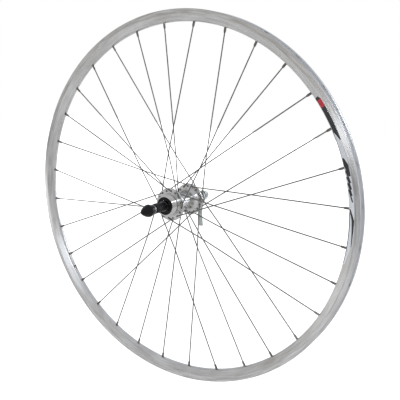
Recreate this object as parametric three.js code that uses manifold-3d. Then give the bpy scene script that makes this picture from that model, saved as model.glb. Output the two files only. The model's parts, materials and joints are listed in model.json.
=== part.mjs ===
// Bicycle rear wheel, 700C, 32 spokes, laced three cross on a hub threaded for a screw-on freewheel,
// with the quick-release skewer that clamps it into a frame.
//
// Millimetres. The wheel's centre is the origin and its axle lies along Y: the freewheel side faces -Y and
// the lever side faces +Y. +Z is up. Angles round the wheel start at +Z and grow towards -X.

import * as THREE from 'three';
import { mergeVertices } from 'three/addons/utils/BufferGeometryUtils.js';
import Module from 'manifold-3d';

const wasm = await Module();
wasm.setup();

// ---------------------------------------------------------------- driving dimensions

const GAP = 0.3; // between pieces that touch or hold one another

const SPOKES = 32;
const FIRST_SPOKE = -3.52; // degrees
const SPOKE_STEP = 360 / SPOKES;
const SPOKE_RADIUS = 1.05;
const SPOKE_SIDES = 6;
const HUB_SWEEP = 67.5; // degrees from a spoke's rim hole to its flange hole, for three crossings
const ELBOW_BEND = 1.6;
const ELBOW_RUN = 11; // length that lies along the flange's face
const HEAD_OUTLINE = [[0, 0], [1.9, 0], [1.5, 1.0], [0, 1.3]]; // [radius, height over the flange]
const NIPPLE_TIP = 289.4;
const NIPPLE_TOP = 302.6;
const NIPPLE_SEAT = 2.6; // height of the head's underside over the rim's bed
const THREAD_END = 1.5; // the wire stops this far below the nipple's top

const RIM_RADIUS = 316.5;
const RIM_BED = 297.5; // the face that the nipples stand out of
const RIM_HALF_WIDTH = 10.7;
const BEAD_SEAT = 311; // 622 mm across
const RIM_SEGMENTS = 56;
const NIPPLE_HOLE = 2.75; // radius, as are the next two
const ACCESS_HOLE = 4.4;
const VALVE_HOLE = 4.3;
const VALVE_ANGLE = FIRST_SPOKE + 11.5 * SPOKE_STEP;

const FLANGE_RADIUS = 28;
const FLANGE_HALF = 1.5; // half its thickness
const HOLE_CIRCLE = 23.5;
const SPOKE_HOLE = 1.5;
const DRIVE_FLANGE = -20.5;
const OTHER_FLANGE = 37.5;
const BARREL_RADIUS = 13.8;
const THREAD_RADIUS = 17.3; // 1.37 in freewheel thread
const SHELL_END = -37;
const SHOULDER = -24.8; // the face that the freewheel screws up to
const SHOULDER_RADIUS = 19.6;
const HUB_SEGMENTS = 20;

const BALLS = 9;
const BALL_RADIUS = 3.175;
const BALL_CIRCLE = 9.4;
const DRIVE_BALLS = -31;
const OTHER_BALLS = 37.5;

const DROPOUT_FACE = 67.5; // 135 mm between the locknuts
const AXLE_END = 72.5;
const AXLE_RADIUS = 5;
const AXLE_BORE = 2.9;
const SKEWER_RADIUS = 2.5;
const SLEEVE_BORE = AXLE_RADIUS + GAP; // every ring threaded or slid on the axle
const SKEWER_BORE = SKEWER_RADIUS + 0.45;

const CAM_RADIUS = 8;
const CAM_CENTRE = 87;
const CAM_THROW = 1.2; // the pivot's distance from the cam's centre, half of the clamping travel
const PIVOT = CAM_CENTRE + CAM_THROW;
const CAM_HALF_WIDTH = 5.3;
const CAM_CLEARANCE = 0.45; // more than the other gaps, because the cam moves sideways as it turns
const CAM_PIN_RADIUS = 4.2;
const SADDLE_RADIUS = 8.6;
const TRACK_RADIUS = CAM_RADIUS + 6; // the saddle's hollow, wider than the cam that rolls in it
const SPRING_WIRE = 0.42;

const NUT_FACE = -70;
const NUT_TIP = -98.5;
const ROD_END = -88; // inside the nut

// ---------------------------------------------------------------- finishes

const finish = (color, roughness, metalness) =>
  new THREE.MeshStandardMaterial({ color, roughness, metalness });

const RIM_ALLOY = finish(0xb9babc, 0.42, 0.9);
const HUB_ALLOY = finish(0xc4c5c6, 0.22, 1.0);
const STAINLESS = finish(0x9a9a9a, 0.28, 1.0);
const STEEL = finish(0x8e8f92, 0.3, 1.0);
const BLACK_STEEL = finish(0x17171a, 0.38, 0.6);
const BLACK_ALLOY = finish(0x121215, 0.25, 0.7);
const BLACK_PLASTIC = finish(0x18181a, 0.5, 0.0);
const LEVER_ALLOY = finish(0x9ba3a2, 0.38, 0.9);
const BRASS = finish(0xb08d4c, 0.35, 1.0);

// ---------------------------------------------------------------- solids and geometry

const AXIS = new THREE.Vector3(0, 1, 0);

const radians = THREE.MathUtils.degToRad;

const polar = (radius, degrees, y = 0) =>
  new THREE.Vector3(-radius * Math.sin(radians(degrees)), y, radius * Math.cos(radians(degrees)));

// A closed geometry as a solid that can be cut and joined.
function toSolid(geometry) {
  geometry.deleteAttribute('normal');
  geometry.deleteAttribute('uv');
  const merged = mergeVertices(geometry, 1e-4);
  const corners = merged.index.array;
  const triangles = [];
  for (let i = 0; i < corners.length; i += 3) {
    const [a, b, c] = corners.slice(i, i + 3);
    if (a !== b && b !== c && c !== a) triangles.push(a, b, c);
  }
  return new wasm.Manifold(new wasm.Mesh({
    numProp: 3,
    vertProperties: new Float32Array(merged.attributes.position.array),
    triVerts: new Uint32Array(triangles),
  }));
}

function toGeometry(solid) {
  const { vertProperties, triVerts } = solid.getMesh();
  const geometry = new THREE.BufferGeometry();
  geometry.setAttribute('position', new THREE.BufferAttribute(vertProperties, 3));
  geometry.setIndex(new THREE.BufferAttribute(triVerts, 1));
  geometry.computeVertexNormals();
  return geometry;
}

// A body turned about the axle from an outline of [radius, y] points, which closes on itself or on the axis.
function turnedGeometry(outline, segments) {
  const points = outline.map(([radius, y]) => new THREE.Vector2(radius, y));
  if (points[0].x > 0) points.push(points[0].clone());
  if (THREE.ShapeUtils.area(points) < 0) points.reverse();
  return new THREE.LatheGeometry(points, segments);
}

const turned = (outline, segments) => toSolid(turnedGeometry(outline, segments));

// The same, standing at a place and pointing along a direction.
function turnedAlong(outline, segments, place, direction) {
  const geometry = turnedGeometry(outline, segments);
  geometry.applyQuaternion(new THREE.Quaternion().setFromUnitVectors(AXIS, direction));
  geometry.translate(place.x, place.y, place.z);
  return toSolid(geometry);
}

// A flat ring between two heights.
const ring = (inner, outer, y0, y1, segments) =>
  turned([[inner, y0], [outer, y0], [outer, y1], [inner, y1]], segments);

function cylinder(start, end, radius, sides) {
  const along = end.clone().sub(start);
  const geometry = new THREE.CylinderGeometry(radius, radius, along.length(), sides);
  geometry.applyQuaternion(new THREE.Quaternion().setFromUnitVectors(AXIS, along.clone().normalize()));
  const middle = start.clone().add(end).multiplyScalar(0.5);
  geometry.translate(middle.x, middle.y, middle.z);
  return toSolid(geometry);
}

function box(low, high) {
  const size = high.clone().sub(low);
  const geometry = new THREE.BoxGeometry(size.x, size.y, size.z);
  const middle = low.clone().add(high).multiplyScalar(0.5);
  geometry.translate(middle.x, middle.y, middle.z);
  return toSolid(geometry);
}

function regularPolygon(sides, radius) {
  const corners = [];
  for (let i = 0; i < sides; i += 1) {
    const a = (2 * Math.PI * i) / sides;
    corners.push(new THREE.Vector2(radius * Math.cos(a), radius * Math.sin(a)));
  }
  return new THREE.Shape(corners);
}

// A wire's path: straight between its points, with a mitred joint at each.
class BentWire extends THREE.Curve {
  constructor(points) {
    super();
    this.points = points;
  }

  getPoint(t, target = new THREE.Vector3()) {
    const place = t * (this.points.length - 1);
    const i = Math.min(Math.floor(place), this.points.length - 2);
    return target.lerpVectors(this.points[i], this.points[i + 1], place - i);
  }

  getPointAt(u, target) {
    return this.getPoint(u, target);
  }

  getTangentAt(u, target = new THREE.Vector3()) {
    const last = this.points.length - 1;
    const i = Math.round(u * last);
    const here = this.points[i];
    const before = this.points[Math.max(i - 1, 0)];
    const after = this.points[Math.min(i + 1, last)];
    const arriving = here.clone().sub(before).normalize();
    const leaving = after.clone().sub(here).normalize();
    return target.copy(arriving).add(leaving).normalize();
  }
}

function wire(points, radius, sides) {
  return toSolid(new THREE.ExtrudeGeometry(regularPolygon(sides, radius), {
    steps: points.length - 1,
    bevelEnabled: false,
    extrudePath: new BentWire(points),
  }));
}

const group = new THREE.Group();

function add(name, solid, material) {
  const mesh = new THREE.Mesh(toGeometry(solid), material);
  mesh.name = name;
  group.add(mesh);
}

// ---------------------------------------------------------------- spokes

// Where spoke number k runs. Even spokes hang on the freewheel-side flange and odd ones on the other. In each
// pair of neighbours on one flange, the first leaves its inner face and the second its outer face.
function spokeLayout(k) {
  const drive = k % 2 === 0;
  const outside = k % 4 >= 2;
  const flange = drive ? DRIVE_FLANGE : OTHER_FLANGE;
  const outward = drive ? -1 : 1;
  const rimAngle = FIRST_SPOKE + k * SPOKE_STEP;
  return {
    flange,
    rimAngle,
    hubAngle: rimAngle + (outside ? -HUB_SWEEP : HUB_SWEEP),
    elbowSide: outside ? outward : -outward, // the sign of y in which the elbow leaves the flange
  };
}

// How far along a spoke its outermost crossing lies, as a share of its length.
function outerCrossing() {
  const hubSide = HOLE_CIRCLE * Math.sin(radians(HUB_SWEEP - SPOKE_STEP));
  const rimSide = RIM_BED * Math.sin(radians(SPOKE_STEP));
  return hubSide / (hubSide + rimSide);
}

function spokeLine(k) {
  const { flange, rimAngle, hubAngle, elbowSide } = spokeLayout(k);
  const hole = polar(HOLE_CIRCLE, hubAngle, flange);
  const rimHole = polar(RIM_BED, rimAngle);
  const flat = rimHole.clone().sub(hole).setY(0);
  const lift = FLANGE_HALF + GAP + SPOKE_RADIUS;
  const crossing = hole.clone().lerp(rimHole, outerCrossing());
  crossing.y -= elbowSide * (SPOKE_RADIUS + GAP / 2);
  return { hole, rimHole, elbowSide, lift, crossing, heading: flat.normalize() };
}

function spokePath(k) {
  const { hole, rimHole, elbowSide, lift, crossing, heading } = spokeLine(k);
  const beside = (along, y) => hole.clone().addScaledVector(heading, along).add(new THREE.Vector3(0, y, 0));
  const insideHead = FLANGE_HALF + GAP + 0.4;
  const points = [beside(0, -elbowSide * insideHead)];
  for (const turn of [0, 45, 90]) {
    const along = ELBOW_BEND * (1 - Math.cos(radians(turn)));
    const rise = lift - ELBOW_BEND * (1 - Math.sin(radians(turn)));
    points.push(beside(along, elbowSide * rise));
  }
  const toRim = rimHole.clone().sub(crossing).normalize();
  const end = rimHole.clone().addScaledVector(toRim, NIPPLE_TOP - RIM_BED - THREAD_END);
  points.push(beside(ELBOW_RUN, elbowSide * lift), crossing, end);
  return points;
}

function spokeHead(k) {
  const { hole, elbowSide } = spokeLine(k);
  const face = hole.clone().add(new THREE.Vector3(0, -elbowSide * (FLANGE_HALF + GAP), 0));
  return turnedAlong(HEAD_OUTLINE, SPOKE_SIDES, face, new THREE.Vector3(0, -elbowSide, 0));
}

// The line a nipple lies on: its place in the rim's bed and its direction outwards.
function nippleAxis(k) {
  const { rimHole, crossing } = spokeLine(k);
  return { place: rimHole, direction: rimHole.clone().sub(crossing).normalize() };
}

function nipple(k) {
  const { place, direction } = nippleAxis(k);
  const tip = NIPPLE_TIP - RIM_BED;
  const outline = [[0, tip], [1.8, tip], [2, NIPPLE_SEAT], [2.7, NIPPLE_SEAT + 0.7],
    [0, NIPPLE_TOP - RIM_BED]];
  return turnedAlong(outline, SPOKE_SIDES, place, direction);
}

function addSpokes() {
  for (let k = 0; k < SPOKES; k += 1) {
    const name = `spoke_${String(k + 1).padStart(2, '0')}`;
    const body = wire(spokePath(k), SPOKE_RADIUS, SPOKE_SIDES);
    add(name, body.add(spokeHead(k)).add(nipple(k)), STAINLESS);
  }
}

// ---------------------------------------------------------------- rim

// Half of the section, from the bed's middle out to the tyre channel's middle, as [radius, half width].
const RIM_OUTER = [[RIM_BED, 1.8], [298.6, 4.2], [303, 7.6], [308, RIM_HALF_WIDTH],
  [RIM_RADIUS, RIM_HALF_WIDTH], [RIM_RADIUS, 9.1], [BEAD_SEAT, 9.1], [BEAD_SEAT - 0.5, 7.2], [307.4, 4.6]];
const RIM_CAVITY = [[299.7, 3.3], [308.2, 8.9], [309, 7.6], [305.9, 4.6]];

const bothSides = (half) => [
  ...half.map(([radius, width]) => [radius, width]),
  ...half.map(([radius, width]) => [radius, -width]).reverse(),
];

function rimSolid() {
  let body = turned(bothSides(RIM_OUTER), RIM_SEGMENTS);
  body = body.subtract(turned(bothSides(RIM_CAVITY), RIM_SEGMENTS));
  for (let k = 0; k < SPOKES; k += 1) {
    const { place, direction } = nippleAxis(k);
    const drill = (from, to, radius) => cylinder(
      place.clone().addScaledVector(direction, from), place.clone().addScaledVector(direction, to), radius, 6);
    body = body.subtract(drill(-4, 5, NIPPLE_HOLE)); // through the bed
    body = body.subtract(drill(6, 16, ACCESS_HOLE)); // through the tyre channel
  }
  const valve = cylinder(polar(RIM_BED - 5, VALVE_ANGLE), polar(RIM_RADIUS, VALVE_ANGLE), VALVE_HOLE, 8);
  return body.subtract(valve);
}

// ---------------------------------------------------------------- hub shell and bearings

// Both bearings are alike. A height beside the freewheel-side balls becomes one beside the other balls.
const sameY = (y) => y;
const acrossY = (y) => DRIVE_BALLS + OTHER_BALLS - y;
const placed = (outline, place) => outline.map(([radius, y]) => [radius, place(y)]);

const CUP_RADIUS = 13.75;
const CUP_FLOOR = -25.9;
const CUP_MOUTH = -35.1;
const CAP_RADIUS = 14.75;
const CONE_RADIUS = 9;
const CONE_END = -42;
const CONE_FLAT = 7.5; // half of the spanner size
const CONE_FLAT_LENGTH = 3.4;
const CAGE_HALF_WALL = 0.7;
const CAGE_HALF_LENGTH = 0.8;

function hubShell() {
  const flangeEdge = (y) => [
    [FLANGE_RADIUS - 1, y - FLANGE_HALF], [FLANGE_RADIUS, y - FLANGE_HALF + 0.7],
    [FLANGE_RADIUS, y + FLANGE_HALF - 0.7], [FLANGE_RADIUS - 1, y + FLANGE_HALF],
  ];
  const pocket = [[CAP_RADIUS + 0.45, SHELL_END], [CAP_RADIUS + 0.45, CUP_MOUTH - GAP],
    [CUP_RADIUS + GAP, CUP_MOUTH - GAP], [CUP_RADIUS + GAP, CUP_FLOOR + GAP], [6.8, CUP_FLOOR + GAP]];
  const outline = [
    [THREAD_RADIUS - 0.9, SHELL_END], [THREAD_RADIUS, SHELL_END + 0.9], [THREAD_RADIUS, SHOULDER],
    [SHOULDER_RADIUS, SHOULDER], [SHOULDER_RADIUS, DRIVE_FLANGE - FLANGE_HALF],
    ...flangeEdge(DRIVE_FLANGE),
    [19.5, DRIVE_FLANGE + FLANGE_HALF], [BARREL_RADIUS + 0.8, -14], [BARREL_RADIUS, -6],
    [BARREL_RADIUS, 24], [BARREL_RADIUS + 0.8, 31], [19.5, OTHER_FLANGE - FLANGE_HALF],
    ...flangeEdge(OTHER_FLANGE),
    [19, OTHER_FLANGE + FLANGE_HALF], [17, 40.6], [17, 42.8], [16.2, acrossY(SHELL_END)],
    ...placed(pocket, acrossY),
    ...pocket.toReversed(),
  ];
  let body = turned(outline, HUB_SEGMENTS);
  for (let k = 0; k < SPOKES; k += 1) {
    const { hole, elbowSide } = spokeLine(k);
    const reach = new THREE.Vector3(0, elbowSide * (FLANGE_HALF + 1), 0);
    body = body.subtract(cylinder(hole.clone().sub(reach), hole.clone().add(reach), SPOKE_HOLE, 6));
  }
  return body;
}

const CUP_OUTLINE = [[CUP_RADIUS, CUP_MOUTH], [CUP_RADIUS, CUP_FLOOR], [7.3, CUP_FLOOR], [7.3, -27.2],
  [9.4, -27.2], [11.6, -28], [13, -30], [13, CUP_MOUTH]];

const CAP_OUTLINE = [[9.7, -35.7], [CAP_RADIUS, -35.7], [CAP_RADIUS, -36.9], [9.7, -36.9]];

const CONE_OUTLINE = [[SLEEVE_BORE, -27.5], [5.8, -27.5], [5.8, -31.4], [6.7, -33.6], [CONE_RADIUS, -34.9],
  [CONE_RADIUS, CONE_END], [SLEEVE_BORE, CONE_END]];

// A cone has two spanner flats on its outer end.
function cone(place) {
  let body = turned(placed(CONE_OUTLINE, place), 20);
  const [y0, y1] = [place(CONE_END + CONE_FLAT_LENGTH), place(CONE_END - 1)].sort((a, b) => a - b);
  const beyond = CONE_RADIUS + 1;
  for (const [x0, x1] of [[CONE_FLAT, beyond], [-beyond, -CONE_FLAT]]) {
    const low = new THREE.Vector3(x0, y0, -beyond);
    body = body.subtract(box(low, new THREE.Vector3(x1, y1, beyond)));
  }
  return body;
}

// Balls and the thin cage that spaces them.
function bearing(y) {
  let body = ring(BALL_CIRCLE - CAGE_HALF_WALL, BALL_CIRCLE + CAGE_HALF_WALL,
    y - CAGE_HALF_LENGTH, y + CAGE_HALF_LENGTH, 18);
  for (let i = 0; i < BALLS; i += 1) {
    const ball = new THREE.SphereGeometry(BALL_RADIUS, 6, 4);
    const { x, z } = polar(BALL_CIRCLE, (360 * i) / BALLS);
    ball.translate(x, y, z);
    body = body.add(toSolid(ball));
  }
  return body;
}

function addHub() {
  add('hub_shell', hubShell(), HUB_ALLOY);
  add('drive_cup', turned(CUP_OUTLINE, 20), STEEL);
  add('non_drive_cup', turned(placed(CUP_OUTLINE, acrossY), 20), STEEL);
  add('drive_dust_cap', turned(CAP_OUTLINE, 20), BLACK_STEEL);
  add('non_drive_dust_cap', turned(placed(CAP_OUTLINE, acrossY), 20), BLACK_STEEL);
  add('drive_bearing', bearing(DRIVE_BALLS), STEEL);
  add('non_drive_bearing', bearing(OTHER_BALLS), STEEL);
}

// ---------------------------------------------------------------- axle and what is threaded on it

const NUT_ACROSS_FLATS = 16;

function locknut(innerY, outerY) {
  const cornerRadius = NUT_ACROSS_FLATS / 2 / Math.cos(Math.PI / 6);
  const body = cylinder(new THREE.Vector3(0, innerY, 0), new THREE.Vector3(0, outerY, 0), cornerRadius, 6);
  const bore = ring(0, SLEEVE_BORE, Math.min(innerY, outerY) - 1, Math.max(innerY, outerY) + 1, 16);
  return body.subtract(bore);
}

const sleeve = (radius) => (y0, y1) => ring(SLEEVE_BORE, radius, y0, y1, 16);

// What is threaded on the axle outside a cone, in order: [name, length, shape, material].
const DRIVE_STACK = [
  ['drive_spacer', 11.7, sleeve(6.7), BLACK_STEEL],
  ['drive_washer', 1.5, sleeve(8.2), STEEL],
  ['drive_outer_spacer', 5.1, sleeve(8), BLACK_STEEL],
  ['drive_locknut', 6, locknut, BLACK_STEEL],
];
const OTHER_STACK = [
  ['non_drive_spacer', 10.6, sleeve(7.5), BLACK_STEEL],
  ['non_drive_washer', 1.5, sleeve(8.2), STEEL],
  ['non_drive_locknut', 6, locknut, BLACK_STEEL],
];

// side is the sign of y on that side of the wheel.
function addStack(start, side, stack) {
  let y = start;
  for (const [name, length, shape, material] of stack) {
    const inner = y + side * GAP;
    y = inner + side * length;
    add(name, shape(inner, y), material);
  }
  if (Math.abs(Math.abs(y) - DROPOUT_FACE) > 1e-6) throw new Error('a locknut is off the dropout face');
}

function addAxle() {
  add('axle', ring(AXLE_BORE, AXLE_RADIUS, -AXLE_END, AXLE_END, 16), STEEL);
  add('drive_cone', cone(sameY), BLACK_STEEL);
  add('non_drive_cone', cone(acrossY), BLACK_STEEL);
  addStack(CONE_END, -1, DRIVE_STACK);
  addStack(acrossY(CONE_END), 1, OTHER_STACK);
}

// ---------------------------------------------------------------- quick-release skewer

const CAP_FACE = 73.2; // where the lever side clamps the frame
const CAP_TOP = 76.4;
const RECESS_RADIUS = 5.9;
const RECESS_DEPTH = 1.8;
const SADDLE_TOP = 81;

// A bar along X through a place on the axle's line.
const crossBar = (y, halfLength, radius, sides) =>
  cylinder(new THREE.Vector3(-halfLength, y, 0), new THREE.Vector3(halfLength, y, 0), radius, sides);

// The cap that bites the frame under the lever, with a recess that shelters the spring.
function leverEndCap() {
  const floor = CAP_FACE + RECESS_DEPTH;
  return turned([[RECESS_RADIUS, CAP_FACE], [8.6, CAP_FACE], [9, CAP_FACE + 0.6], [9, CAP_TOP - 0.5],
    [8.5, CAP_TOP], [SKEWER_BORE, CAP_TOP], [SKEWER_BORE, floor], [RECESS_RADIUS, floor]], 16);
}

// The plastic saddle that the cam turns on.
function camSaddle() {
  const body = ring(SKEWER_BORE, SADDLE_RADIUS, CAP_TOP + GAP, SADDLE_TOP, 20);
  const trackCentre = CAM_CENTRE - CAM_RADIUS - CAM_CLEARANCE + TRACK_RADIUS;
  return body.subtract(crossBar(trackCentre, SADDLE_RADIUS + 3, TRACK_RADIUS, 40));
}

function skewerRod() {
  const end = new THREE.Vector3(0, PIVOT + 3.4, 0);
  return cylinder(new THREE.Vector3(0, ROD_END, 0), end, SKEWER_RADIUS, 12);
}

// The cross pin that the lever turns on, bored for the end of the rod.
function camPin() {
  const bore = ring(0, SKEWER_RADIUS + GAP, PIVOT - 6, PIVOT + 6, 12);
  return crossBar(PIVOT, CAM_HALF_WIDTH, CAM_PIN_RADIUS, 16).subtract(bore);
}

// The side view of the lever's arm: its middle line as [y, z], and its half thickness at each place.
const ARM_LINE = [[87, -4.5], [83.2, -10.5], [78.6, -18], [76.2, -28], [76.5, -40], [79.4, -52], [81.6, -58]];
const ARM_ROOT = 2.4;
const ARM_TIP = 1.6;
const ARM_STEPS = 9;
const ARM_WAIST = 3.6; // half width, as is the next
const ARM_END_WIDTH = 5;

function armSideOutline() {
  const line = new THREE.SplineCurve(ARM_LINE.map(([y, z]) => new THREE.Vector2(y, z)));
  const front = [];
  const back = [];
  for (let i = 0; i <= ARM_STEPS; i += 1) {
    const t = i / ARM_STEPS;
    const place = line.getPoint(t);
    const along = line.getTangent(t);
    const half = THREE.MathUtils.lerp(ARM_ROOT, ARM_TIP, t);
    const side = new THREE.Vector2(-along.y, along.x).multiplyScalar(half);
    front.push(place.clone().add(side));
    back.push(place.clone().sub(side));
  }
  return new THREE.Shape([...front, ...back.reverse()]);
}

// The front view of the whole lever as [x, z]: a waisted arm with a round tip.
function armFrontOutline() {
  const tipCentre = ARM_LINE.at(-1)[1] + 4;
  const shape = new THREE.Shape();
  shape.moveTo(-CAM_HALF_WIDTH, CAM_RADIUS);
  shape.lineTo(-CAM_HALF_WIDTH, -CAM_RADIUS);
  shape.quadraticCurveTo(-ARM_WAIST, -18, -ARM_END_WIDTH, -40);
  shape.lineTo(-ARM_END_WIDTH, tipCentre);
  shape.absarc(0, tipCentre, ARM_END_WIDTH, Math.PI, 2 * Math.PI, false);
  shape.lineTo(ARM_END_WIDTH, -40);
  shape.quadraticCurveTo(ARM_WAIST, -18, CAM_HALF_WIDTH, -CAM_RADIUS);
  shape.lineTo(CAM_HALF_WIDTH, CAM_RADIUS);
  return shape;
}

// A flat outline made solid: its first axis becomes right, its second one up, and its thickness runs towards
// their cross product, from the plane through start.
function extruded(outline, thickness, right, up, start) {
  const settings = { depth: thickness, bevelEnabled: false, curveSegments: 6 };
  const geometry = new THREE.ExtrudeGeometry(outline, settings);
  geometry.applyMatrix4(new THREE.Matrix4().makeBasis(right, up, right.clone().cross(up)));
  geometry.translate(start.x, start.y, start.z);
  return toSolid(geometry);
}

function lever() {
  const [xAxis, yAxis, zAxis] = [[1, 0, 0], [0, 1, 0], [0, 0, 1]].map((v) => new THREE.Vector3(...v));
  const wide = CAM_HALF_WIDTH + 1;
  const side = extruded(armSideOutline(), 2 * wide, yAxis, zAxis, new THREE.Vector3(-wide, 0, 0));
  const front = extruded(armFrontOutline(), 60, xAxis, zAxis, new THREE.Vector3(0, 110, 0));
  const slotHalf = SKEWER_RADIUS + 0.45;
  const slot = box(
    new THREE.Vector3(-slotHalf, CAM_CENTRE - 15, -CAM_PIN_RADIUS - 0.6),
    new THREE.Vector3(slotHalf, CAM_CENTRE + 15, 15));
  return side
    .add(crossBar(CAM_CENTRE, CAM_HALF_WIDTH, CAM_RADIUS, 28))
    .intersect(front)
    .subtract(crossBar(PIVOT, wide, CAM_PIN_RADIUS + GAP, 16))
    .subtract(slot);
}

// The acorn nut: a neck, a wide grip ring and a bullet nose, hollow for the axle's end and the insert.
function skewerNut() {
  return turned([[0, NUT_TIP], [2.2, -98], [5.6, -94], [9.2, -87], [10.3, -82.4],
    [10.2, -79.6], [7.6, -75.4], [7.6, -71.9], [5.9, -71.9], [5.9, -75.8], [4.9, -75.8],
    [4.9, -86.4], [3, -86.4], [3, -92], [0, -92]], 16);
}

class ConeCoil extends THREE.Curve {
  constructor(small, large, turns) {
    super();
    this.small = small; // [radius, y]
    this.large = large;
    this.turns = turns;
  }

  getPoint(t, target = new THREE.Vector3()) {
    const radius = THREE.MathUtils.lerp(this.small[0], this.large[0], t);
    const { x, z } = polar(radius, 360 * this.turns * t);
    return target.set(x, THREE.MathUtils.lerp(this.small[1], this.large[1], t), z);
  }
}

function spring(smallEnd, largeEnd) {
  return toSolid(new THREE.ExtrudeGeometry(regularPolygon(5, SPRING_WIRE), {
    steps: 20,
    bevelEnabled: false,
    extrudePath: new ConeCoil(smallEnd, largeEnd, 2),
  }));
}

function addSkewer() {
  add('skewer_rod', skewerRod(), STEEL);
  add('cam_pin', camPin(), STEEL);
  add('cam_saddle', camSaddle(), BLACK_PLASTIC);
  add('lever_end_cap', leverEndCap(), LEVER_ALLOY);
  add('lever', lever(), LEVER_ALLOY);
  add('skewer_nut', skewerNut(), BLACK_ALLOY);
  add('nut_insert', ring(SKEWER_RADIUS + GAP, 4.6, -86.1, -76.1, 16), BRASS);
  add('nut_face_ring', ring(5.95, 8, NUT_FACE - 1.6, NUT_FACE, 16), STEEL);
  add('drive_spring', spring([3.6, -73.4], [5.1, -75]), STEEL);
  add('non_drive_spring', spring([3.6, 73.2], [5.1, 74.3]), STEEL);
}

// ---------------------------------------------------------------- the wheel

add('rim', rimSolid(), RIM_ALLOY);
addSpokes();
addHub();
addAxle();
addSkewer();

export default group;
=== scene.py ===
"""The looks of a bicycle rear wheel with a quick-release skewer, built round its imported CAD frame.

Lengths in this file are millimetres unless a name says otherwise, and become metres where a mesh is made.
The axle lies along Y, the freewheel side towards -Y. Angles round the wheel start at +Z and grow towards -X.
"""

import json
import math

import bmesh
import bpy
from mathutils import Matrix, Vector


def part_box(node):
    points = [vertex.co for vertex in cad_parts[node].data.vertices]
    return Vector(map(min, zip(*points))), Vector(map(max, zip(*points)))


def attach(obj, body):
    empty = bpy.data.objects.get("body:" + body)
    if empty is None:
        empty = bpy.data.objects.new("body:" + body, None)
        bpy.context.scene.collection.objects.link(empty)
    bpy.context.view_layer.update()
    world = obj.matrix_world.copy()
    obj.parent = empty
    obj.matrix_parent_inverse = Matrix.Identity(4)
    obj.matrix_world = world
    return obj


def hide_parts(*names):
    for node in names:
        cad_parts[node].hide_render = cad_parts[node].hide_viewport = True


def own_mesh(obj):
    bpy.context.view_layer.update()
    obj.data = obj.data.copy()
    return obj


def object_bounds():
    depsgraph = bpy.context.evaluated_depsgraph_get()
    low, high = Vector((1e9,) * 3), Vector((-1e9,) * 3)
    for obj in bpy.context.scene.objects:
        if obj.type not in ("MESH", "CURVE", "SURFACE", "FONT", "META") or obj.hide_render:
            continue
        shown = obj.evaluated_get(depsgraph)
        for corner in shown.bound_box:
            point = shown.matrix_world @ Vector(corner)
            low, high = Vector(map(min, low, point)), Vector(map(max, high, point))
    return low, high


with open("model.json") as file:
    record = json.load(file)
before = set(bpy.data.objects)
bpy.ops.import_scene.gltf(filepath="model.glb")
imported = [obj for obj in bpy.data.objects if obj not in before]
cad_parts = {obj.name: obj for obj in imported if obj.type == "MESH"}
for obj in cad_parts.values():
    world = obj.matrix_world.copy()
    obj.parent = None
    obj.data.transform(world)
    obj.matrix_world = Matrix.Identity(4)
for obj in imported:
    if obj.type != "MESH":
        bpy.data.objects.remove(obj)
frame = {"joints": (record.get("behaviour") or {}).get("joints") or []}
cad_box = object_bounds()

MM = 0.001
AXLE = Vector((0, 1, 0))

# ---------------------------------------------------------------- sizes shared with the CAD frame


def span(node):
    """A node's lowest and highest y."""
    low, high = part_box(node)
    return low.y / MM, high.y / MM


def outer_radius(node):
    """The radius of a node turned about the axle."""
    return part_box(node)[1].z / MM


SPOKES = 32
SPOKE_STEP = 360 / SPOKES
FIRST_SPOKE = -3.52  # degrees to the first spoke's rim hole
HUB_SWEEP = 67.5  # degrees from a spoke's rim hole to its flange hole
HOLE_CIRCLE = 23.5
SPOKE_RADIUS = 1.0
ELBOW_RUN = 11  # how far a spoke lies flat on its flange before it leaves for the rim
FLANGE_HALF = 1.5
DRIVE_FLANGE = -20.5
OTHER_FLANGE = 37.5
FLANGE_RADIUS = outer_radius("hub_shell")
RIM_RADIUS = outer_radius("rim")
RIM_HALF_WIDTH = span("rim")[1]
RIM_BED = 297.5
RIM_SLOPE = [(298.7, 4.4), (303.2, 7.5), (307.8, 10.42)]  # (radius, half width) from the bed to the track
TRACK_START = 308.1
CHANNEL_FLOOR = 307.4
CHANNEL_HALF = 9.15
NIPPLE_TIP = 289.4
NIPPLE_TOP = 302.6
VALVE_ANGLE = FIRST_SPOKE + 11.5 * SPOKE_STEP
BEARING_MIRROR = span("drive_cup")[0] + span("non_drive_cup")[1]
BALL_CIRCLE = 9.4
BALL_RADIUS = 3.175
BALLS = 9
SLEEVE_BORE = 5.15
SHELL_START, SHELL_END = span("hub_shell")
CAM_RADIUS = 8
CAM_CENTRE = span("lever")[1] - CAM_RADIUS
PIVOT = next(joint for joint in frame["joints"] if joint["name"] == "lever_cam")["pos_m"][1] / MM

# ---------------------------------------------------------------- mesh building

MERGE_DISTANCE = 2e-7  # metres


def polar(radius, degrees, y=0.0):
    """The point at a radius, an angle round the wheel and a height along the axle."""
    turn = math.radians(degrees)
    return Vector((-radius * math.sin(turn), y, radius * math.cos(turn)))


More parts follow.
